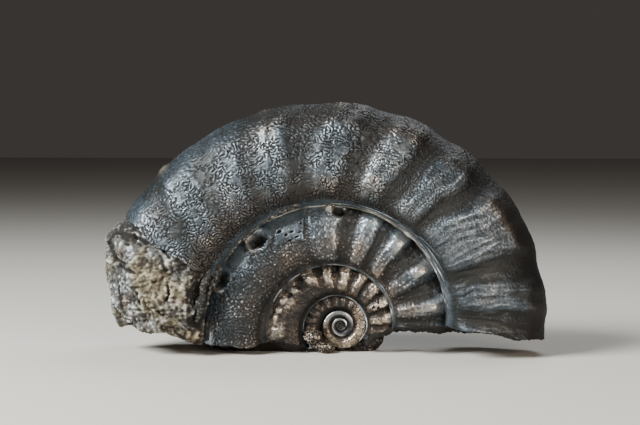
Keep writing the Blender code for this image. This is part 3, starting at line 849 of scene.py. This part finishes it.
# Rock in the broken mouth
rock = dict(
    start=149.0, end=(160.0, 215.0), gap=0.05, halfWidth=0.255,
    tucked=(153.5, 157.0, 0.9),  # degrees, degrees, mm under the mouth's edge
    angles=(150, 156, 159, 164, 171, 177, 182, 197), radii=(31.0, 33.2, 34.2, 33.6, 32.6, 31.2, 29.8, 28.5),
    rough=1.3, grain=4.5, step=0.115, half=105, under=30, capRows=(24, 40), capTones=(0.4, 0.35),
    # rub: gains for rubbed wear with a painted highlight on what stands up and painted shade in what lies
    # low
    crown=(1.3, 0.07), edgeShare=0.04, frontY=(-1.0, -2.5), rub=(1.0, 0.25),
    cap=(-29.4, 13.4, 3.4, 2.2),  # dark cap with veins: place and half sizes
    reach=26,  # mm from the coil's middle, where its rows are counted
    # places in mm from the coil's middle, half sizes, mm high, then tone, warm and pale
    spots=(
        (-27.6, 10.5, 0.5, 0.85, -0.12, 0.5, -1.6),  # bluish-white facet
        (-29.4, 13.4, 3.2, 2.0, 0.45, -0.46, -0.9),  # dark cap
        (-28.3, 6.3, 1.3, 1.5, 0.45, 0.04, -1.2),  # bluish lumps down the left side
        (-29.8, 3.4, 0.8, 1.0, 0.4, 0.08, -1.1, 0.1), (-27.6, 1.9, 0.9, 1.1, 0.3, 0.18, -1.1, 0.3),
        (-26.6, 0.3, 0.7, 0.6, 0.25, 0.14, -1.0, 0.2),
        (-24.6, 6.6, 2.2, 4.2, 0.25, 0.08, 0.5),  # yellow granular middle
        (-25.6, -0.9, 1.7, 1.1, 0.2, -0.08, 0.5),
        (-19.9, 0.9, 0.8, 0.9, 0.25, 0.15, -0.9, 0.3),  # crumbs by the foot of the middle whorl
        (-21.2, 10.4, 1.3, 1.9, 0.1, 0.1, 0.2, 0.15), (-21.0, 4.8, 1.5, 2.6, 0.1, 0.12, 0.1, 0.15),
        (-19.3, -0.7, 1.1, 0.9, 0.35, 0.22, 0.9, 0.5),  # broken pale tip
        (-19.1, 1.3, 1.1, 0.8, -0.7, -0.55, 0.3),  # hollow beside the whorl's foot, darkened with painted shade
    ),
    # straight cuts: two places in mm, half width and depth
    cracks=(
        (-31.3, 11.0, -29.3, 12.2, 0.2, 0.55), (-29.3, 12.2, -27.0, 12.3, 0.2, 0.55),
        (-27.0, 12.3, -25.4, 11.7, 0.16, 0.4), (-30.3, 11.2, -29.6, 9.3, 0.3, 0.5),
        (-29.6, 9.3, -28.2, 8.6, 0.18, 0.4), (-28.9, 8.4, -26.7, 7.6, 0.15, 0.35),
        (-22.3, 6.0, -22.1, 4.9, 0.13, 0.5), (-22.1, 4.9, -22.5, 4.1, 0.13, 0.5),
        (-23.7, 2.6, -22.9, 2.0, 0.12, 0.3), (-29.5, 5.2, -28.9, 2.8, 0.2, 0.4),
        (-28.4, 0.3, -27.9, -0.6, 0.22, 0.5), (-26.4, 5.0, -25.9, 3.6, 0.14, 0.3),
        (-21.5, -0.2, -20.2, -1.2, 0.15, 0.35), (-24.0, 11.8, -22.0, 9.6, 0.12, 0.25),
        (-23.2, 9.8, -22.6, 7.9, 0.1, 0.22), (-22.4, 12.2, -20.4, 9.8, 0.12, 0.3),
    ),
)


def makeRock():
    # a section that sits on the middle whorl, swept through the mouth and roughened at five sizes
    swing = np.linspace(-1, 1, 2 * rock["half"] + 1)
    power, least = rock["crown"]
    share = 1 - np.abs(swing) ** power * (1 - least)
    under = np.linspace(np.pi, 0, rock["under"] + 2)[1:-1]
    count = len(swing) + len(under)

    def section(angle):
        skinAngle, underAngle = angle[:, :len(swing)], angle[:, len(swing):]
        outer = np.interp(skinAngle, rock["angles"], rock["radii"])
        inner = seamRadius(skinAngle / 360 + 2)
        width = rock["halfWidth"] * outer * np.sqrt(1 - share ** 3)
        width = width * (1 - coil["seamSink"] * np.exp(-share / coil["wallShare"]))
        skin = place(inner + (outer - inner) * share, np.sign(swing) * width, skinAngle)
        radius, y = overVenter(underAngle / 360 + 2, under, rock["gap"])
        return np.concatenate([skin, place(radius, y, underAngle)], 1)

    end = breakAngle(section, count, rock["end"], False)
    rows = int(np.radians(float((end - rock["start"]).max())) * rock["reach"] / rock["step"])
    angle = rock["start"] + (end - rock["start"]) * np.linspace(0, 1, rows + 1)[:, None]
    points = section(angle)
    x, z = points[..., 0], points[..., 2]
    shown = np.concatenate([np.minimum(share / rock["edgeShare"], 1), 0 * under])[None, :]
    wide = np.concatenate([share, 0 * under])[None, :] + 0 * angle
    total = dict(front=smooth(points[..., 1], *rock["frontY"]))
    near = grains(points, 0.46, 71)[0]
    netNear, netSecond = grains(points, 1.15, 81)
    capX, capZ, halfX, halfZ = rock["cap"]
    cap = bell(np.hypot((x - capX) / halfX, (z - capZ) / halfZ), 1.0) * total["front"]
    vein = smooth(netSecond - netNear, 0.22, 0.04) * cap
    flaky = smooth(wide, 0.26, 0.14) * smooth(wide, 0.0, 0.03)
    wander = 0.9 * lumpNoise(points, 2.4, 85) + 0.6 * fractal(points, 1.1, 3, 86)
    stripes = np.cos(2 * np.pi * (15 * wide + wander)) * flaky
    total["rise"] = (
        rock["rough"] * 0.7 * fractal(points, rock["grain"], 2, 73) + 0.34 * fractal(points, 1.5, 3, 75)
        - 0.06 * smooth(near, 0.1, 0.75) + 0.17 * fractal(points, 0.34, 2, 77)
        + 0.25 * vein + 0.1 * stripes
        - 0.3 * bell(wide - 0.27, 0.035) * smooth(lumpNoise(points, 2.2, 87), -0.5, 0.2)
    )
    first, last, depth = rock["tucked"]
    total["tone"] = (
        0.33 + 0.12 * fractal(points, 1.0, 3, 79) + 0.26 * fractal(points, 0.32, 2, 78) - 0.08 * near
        + 0.22 * vein + 0.07 * stripes - 0.22 * flaky - 0.1 * smooth(z, 2.0, -2.0)
    )
    total["warm"] = 0.2 + 0.5 * fractal(points, 2.6, 2, 83) - 0.3 * cap
    total["pale"] = 0.2 * vein + 0.15 * smooth(lumpNoise(points, 1.1, 89), 0.2, 0.7)
    addSpots(total, (x, 1.0), (z, 1.0), rock["spots"])
    addCracks(total, x, z, rock["cracks"])
    rubAndPaintedShading(total, *rock["rub"])
    ragged = angle + lastWhorl["mouthLean"] * wide + 0.8 * fractal(points, 1.2, 2, 95)
    tuck = depth * smooth(ragged, last, first)
    points = points + surfaceNormals(points) * ((total["rise"] - tuck) * shown)[..., None]
    before, after = rock["capRows"]
    firstCap, lastCap = capRows(points[0], before, False)[::-1], capRows(points[-1], after, True)
    ends = dict(pad_width=((before, after), (0, 0)), constant_values=(rock["capTones"], (0, 0)))
    layers = {key: np.pad(total[key], **ends) for key in ("tone", "warm", "pale")}
    return closedShell(np.concatenate([firstCap, points, lastCap]), layers)


# Finishes

def addNode(tree, kind, settings=None, links=None, output=0):
    # adds a node: settings name its own values, a ramp's stops or its inputs, links feed its inputs
    node = tree.nodes.new("ShaderNode" + kind)
    for key, value in (settings or {}).items():
        if key == "stops":
            elements = node.color_ramp.elements
            while len(elements) < len(value):
                elements.new(0.5)
            for element, (spot, colour) in zip(elements, value):
                element.position, element.color = spot, linearColour(colour)
        elif isinstance(key, str) and hasattr(node, key):
            setattr(node, key, value)
        else:
            node.inputs[key].default_value = value
    for key, source in (links or {}).items():
        tree.links.new(source, node.inputs[key])
    return node.outputs[output]


def newMaterial(name):
    material = bpy.data.materials.new(name)
    material.use_nodes = True
    tree = material.node_tree
    tree.nodes.clear()
    shader = tree.nodes.new("ShaderNodeBsdfPrincipled")
    output = tree.nodes.new("ShaderNodeOutputMaterial")
    tree.links.new(shader.outputs[0], output.inputs["Surface"])
    return material, shader


# Noise that breaks up tone and warmth, and the ranges that tone and warmth are read over
finish = dict(
    fine=0.3, broad=1.8,  # mm between features: crystal grain, and stains
    fineTone=0.34, broadTone=0.3, broadWarm=0.8, warmRange=(0.35, 1.05), wall=0.85,
    metalTones=(0.45, 0.95), roughTones=(0.45, 1.0),  # tones at which the two ends are reached
    bumpDepth=0.08,  # mm
)


def makeMineral(name, cool, warm, pale, metal, rough, bump):
    # tone picks a shade from each ramp, noise of two sizes breaks it up, and marks say which ramp shows
    material, shader = newMaterial(name)
    tree = material.node_tree
    marks = {key: addNode(tree, "Attribute", {"attribute_name": key}, output="Fac") for key in markNames}
    spot = addNode(tree, "TexCoord", output="Object")
    fine, broad = (
        addNode(tree, "TexNoise", {"Scale": 1 / (finish[key] * mm), "Detail": detail}, {"Vector": spot})
        for key, detail in (("fine", 4.0), ("broad", 3.0)))
    stirred = {"operation": "MULTIPLY_ADD"}
    shade = addNode(tree, "Math", {**stirred, 1: finish["fineTone"]}, {0: fine, 2: marks["tone"]})
    shade = addNode(tree, "Math", {**stirred, 1: finish["broadTone"]}, {0: broad, 2: shade})
    warmth = addNode(tree, "Math", {**stirred, 1: finish["broadWarm"]}, {0: broad, 2: marks["warm"]})
    low, high = finish["warmRange"]
    warmth = addNode(tree, "MapRange", {"From Min": low, "From Max": high}, {"Value": warmth})
    wall = addNode(tree, "Math", {"operation": "MULTIPLY", 1: finish["wall"]}, {0: marks["wall"]})
    colour = addNode(tree, "ValToRGB", {"stops": shades[cool]}, {0: shade})
    # the broken mark picks the near-black ramp, painted shadow on broken undersides
    layers = (warmth, warm), (marks["pale"], pale), (wall, "wall"), (marks["broken"], "broken")
    for part, over in layers:
        over = addNode(tree, "ValToRGB", {"stops": shades[over]}, {0: shade})
        colour = addNode(tree, "Mix", {"data_type": "RGBA"}, {0: part, 6: colour, 7: over}, output=2)
    shine = []
    for tones, ends in ((finish["metalTones"], metal), (finish["roughTones"], rough)):
        limits = dict(zip(("From Min", "From Max", "To Min", "To Max"), tones + ends))
        shine.append(addNode(tree, "MapRange", limits, {"Value": shade}))
    solid = addNode(tree, "Math", {"operation": "SUBTRACT", 0: 1.0}, {1: marks["broken"]})
    metallic = addNode(tree, "Math", {"operation": "MULTIPLY"}, {0: shine[0], 1: solid})
    depth = finish["bumpDepth"] * mm
    normal = addNode(tree, "Bump", {"Strength": bump, "Distance": depth}, {"Height": fine})
    looks = {"Base Color": colour, "Metallic": metallic, "Roughness": shine[1], "Normal": normal}
    for key, source in looks.items():
        tree.links.new(source, shader.inputs[key])
    return material


# Ramp places run from dirt and painted shade in the hollows at about 0.4 to rubbed crests and painted
# highlights at 1.0
shades = dict(
    steelCool=[(0.45, "090a0a"), (0.66, "1f2222"), (0.82, "464f57"), (1.0, "89959d")],
    steelWarm=[(0.45, "0a0706"), (0.66, "221d19"), (0.82, "443e38"), (1.0, "80766d")],
    brownWarm=[(0.45, "0a0706"), (0.66, "251e19"), (0.82, "4d453d"), (1.0, "918376")],
    bronzeCool=[(0.45, "0a0909"), (0.66, "252422"), (0.82, "504d4a"), (1.0, "9c9890")],
    bronzeWarm=[(0.45, "0b0806"), (0.66, "29211a"), (0.82, "554c44"), (1.0, "b4a89b")],
    silver=[(0.4, "0c0d10"), (0.62, "2c2e32"), (0.82, "77797c"), (1.0, "c9c7c2")],
    cream=[(0.4, "1f1812"), (0.65, "55493b"), (0.85, "8f8170"), (1.0, "c9bca8")],
    crust=[(0.4, "1d1c1a"), (0.65, "524f49"), (0.85, "8a867d"), (1.0, "c6c2b8")],
    rockCool=[(0.35, "191817"), (0.55, "3a3936"), (0.78, "5f6161"), (1.0, "a9b2b8")],
    rockWarm=[(0.35, "1a160f"), (0.55, "3f3627"), (0.78, "645e4c"), (1.0, "9b937f")],
    wall=[(0.45, "181d23"), (0.7, "4b5660"), (0.95, "8492a0")],
    # broken: near-black, painted shadow on broken undersides
    broken=[(0.45, "040302"), (0.7, "0e0a08"), (0.95, "261b14")],
)

# cool, warm and pale ramps, metallic and roughness from hollows to crests, then strength of the bump
minerals = dict(
    # Pyrite cast of the last whorl: a dull steel-blue metal, brown where films and dirt sit
    steelPyrite=("steelCool", "steelWarm", "cream", (0.35, 0.85), (0.62, 0.36), 0.35),
    # Pyrite of the middle whorl: browner, with the same bluish crests, rubbed and with painted highlights
    brownPyrite=("steelCool", "brownWarm", "cream", (0.35, 0.85), (0.6, 0.34), 0.35),
    # Bronze-tarnished pyrite of the inner whorl and the crumbs: warm glints on dark
    bronzePyrite=("bronzeCool", "bronzeWarm", "cream", (0.4, 0.85), (0.55, 0.3), 0.35),
    # Bright pyrite of the nucleus, polished by wear, with cream shell on it
    silverPyrite=("silver", "bronzeWarm", "cream", (0.4, 0.9), (0.5, 0.24), 0.2),
    # Thin old shell along the seams: satin, cream to steel grey
    oldShell=("steelCool", "steelWarm", "crust", (0.0, 0.35), (0.65, 0.42), 0.25),
    # Hardened mud: matt and granular, beige with yellowish and bluish patches
    hardenedMud=("rockCool", "rockWarm", "cream", (0.0, 0.0), (0.95, 0.8), 1.0),
)


# Making the pieces

materials = {name: makeMineral(name, *looks) for name, looks in minerals.items()}
print("materials made")

# three pieces, so that each stays under 200,000 triangles
lastNames = ("lastWhorlRight", "lastWhorlTop", "lastWhorlLeft")
lastShells = makeWhorl(lastWhorl, lastRelief)
pieces = [makePiece(name, [shell], "steelPyrite") for name, shell in zip(lastNames, lastShells)]
pieces += [
    makePiece("middleWhorl", makeWhorl(middleWhorl, middleRelief), "brownPyrite"),
    makePiece("innerWhorl", makeWhorl(innerWhorl, innerRelief), "bronzePyrite"),
    makePiece("nucleus", [makeNucleus()], "silverPyrite"),
    makePiece("crumb", [makeLump(lump, seed=81, pale=0.35, broken=0.0) for lump in crumbs], "bronzePyrite"),
    # the remnant under the middle is painted near-black as shadow
    makePiece("remnant", [makeLump(remnant, seed=83, pale=0.0, broken=1.0)], "brownPyrite"),
]
for name, (base, rows) in strands.items():
    shells = [makeStrand(base, *row, seed=100 + 11 * number) for number, row in enumerate(rows)]
    pieces.append(makePiece(name + "Shell", shells, "oldShell"))
for piece in pieces:
    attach(piece, "root")
    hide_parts("ammonite")

rockPiece = makePiece("matrixRock", [makeRock()], "hardenedMud")
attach(rockPiece, "root")
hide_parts("matrix_plug")
print("pieces made")


# Camera, floor and light

camera = dict(
    azimuth=5.0, elevation=3.0,  # degrees, of the view axis
    lens=100.0, sensor=36.0,  # mm
    clip=(0.005, 20.0),  # m
    width=640, height=425,  # pixels
    coilPixel=(341.0, 325.5),  # where the coiling axis shows
    scale=60 / 442,  # mm in a pixel at the coil
)
studio = dict(
    floor="b9b5ae", floorSize=1200, floorRoughness=0.85, world="57524f", worldStrength=0.5,
    # name, place, target and size in mm, watts, colour
    softboxes=(
        ("key", (-190, -150, 190), (0, 0, 14), (150, 120), 3.1, "f1f4f3"),
        ("rim", (60, 110, 190), (0, 0, 16), (160, 90), 0.32, "e6edf2"),
        ("fill", (150, -230, 70), (5, 0, 14), (160, 120), 0.6, "fff0e0"),
    ),
)


def placeCamera():
    # the camera looks along its own axis, and the coil sits off that axis by its pixel
    a, e = np.radians(camera["azimuth"]), np.radians(camera["elevation"])
    back = np.array([np.sin(a) * np.cos(e), -np.cos(a) * np.cos(e), np.sin(e)])
    right = np.array([np.cos(a), np.sin(a), 0])
    up = np.cross(back, right)
    depth = camera["lens"] / camera["sensor"] * camera["width"] * camera["scale"]
    aside = (camera["coilPixel"][0] - camera["width"] / 2) * camera["scale"]
    below = (camera["coilPixel"][1] - camera["height"] / 2) * camera["scale"]
    spot = np.array([coil["x"], 0, coil["z"]]) - right * aside + up * below + back * depth
    data = bpy.data.cameras.new("camera")
    data.lens, data.sensor_width = camera["lens"], camera["sensor"]
    data.clip_start, data.clip_end = camera["clip"]
    thing = addObject("camera", data)
    turned = Matrix((right, up, back)).transposed().to_4x4()
    thing.matrix_world = Matrix.Translation(Vector(spot * mm)) @ turned
    bpy.context.scene.camera = thing


def addSoftbox(name, spot, target, size, power, colour):
    data = bpy.data.lights.new(name, "AREA")
    data.shape = "RECTANGLE"
    data.size, data.size_y = size[0] * mm, size[1] * mm
    data.energy = power
    data.color = linearColour(colour)[:3]
    thing = addObject(name, data)
    thing.location = Vector(spot) * mm
    aim = Vector(target) * mm - thing.location
    thing.rotation_euler = aim.to_track_quat("-Z", "Y").to_euler()


def makeFloor():
    size = studio["floorSize"] * mm
    data = bpy.data.meshes.new("floor")
    corners = [(-size, -size, 0), (size, -size, 0), (size, size, 0), (-size, size, 0)]
    data.from_pydata(corners, [], [(0, 1, 2, 3)])
    floor = addObject("floor", data)
    material, shader = newMaterial("paleFloor")
    shader.inputs["Base Color"].default_value = linearColour(studio["floor"])
    shader.inputs["Roughness"].default_value = studio["floorRoughness"]
    data.materials.append(material)


def lightWorld():
    world = bpy.data.worlds.new("studio")
    bpy.context.scene.world = world
    world.use_nodes = True
    background = world.node_tree.nodes["Background"]
    background.inputs[0].default_value = linearColour(studio["world"])
    background.inputs[1].default_value = studio["worldStrength"]


placeCamera()
makeFloor()
lightWorld()
for softbox in studio["softboxes"]:
    addSoftbox(*softbox)
print("camera, floor and lights placed")
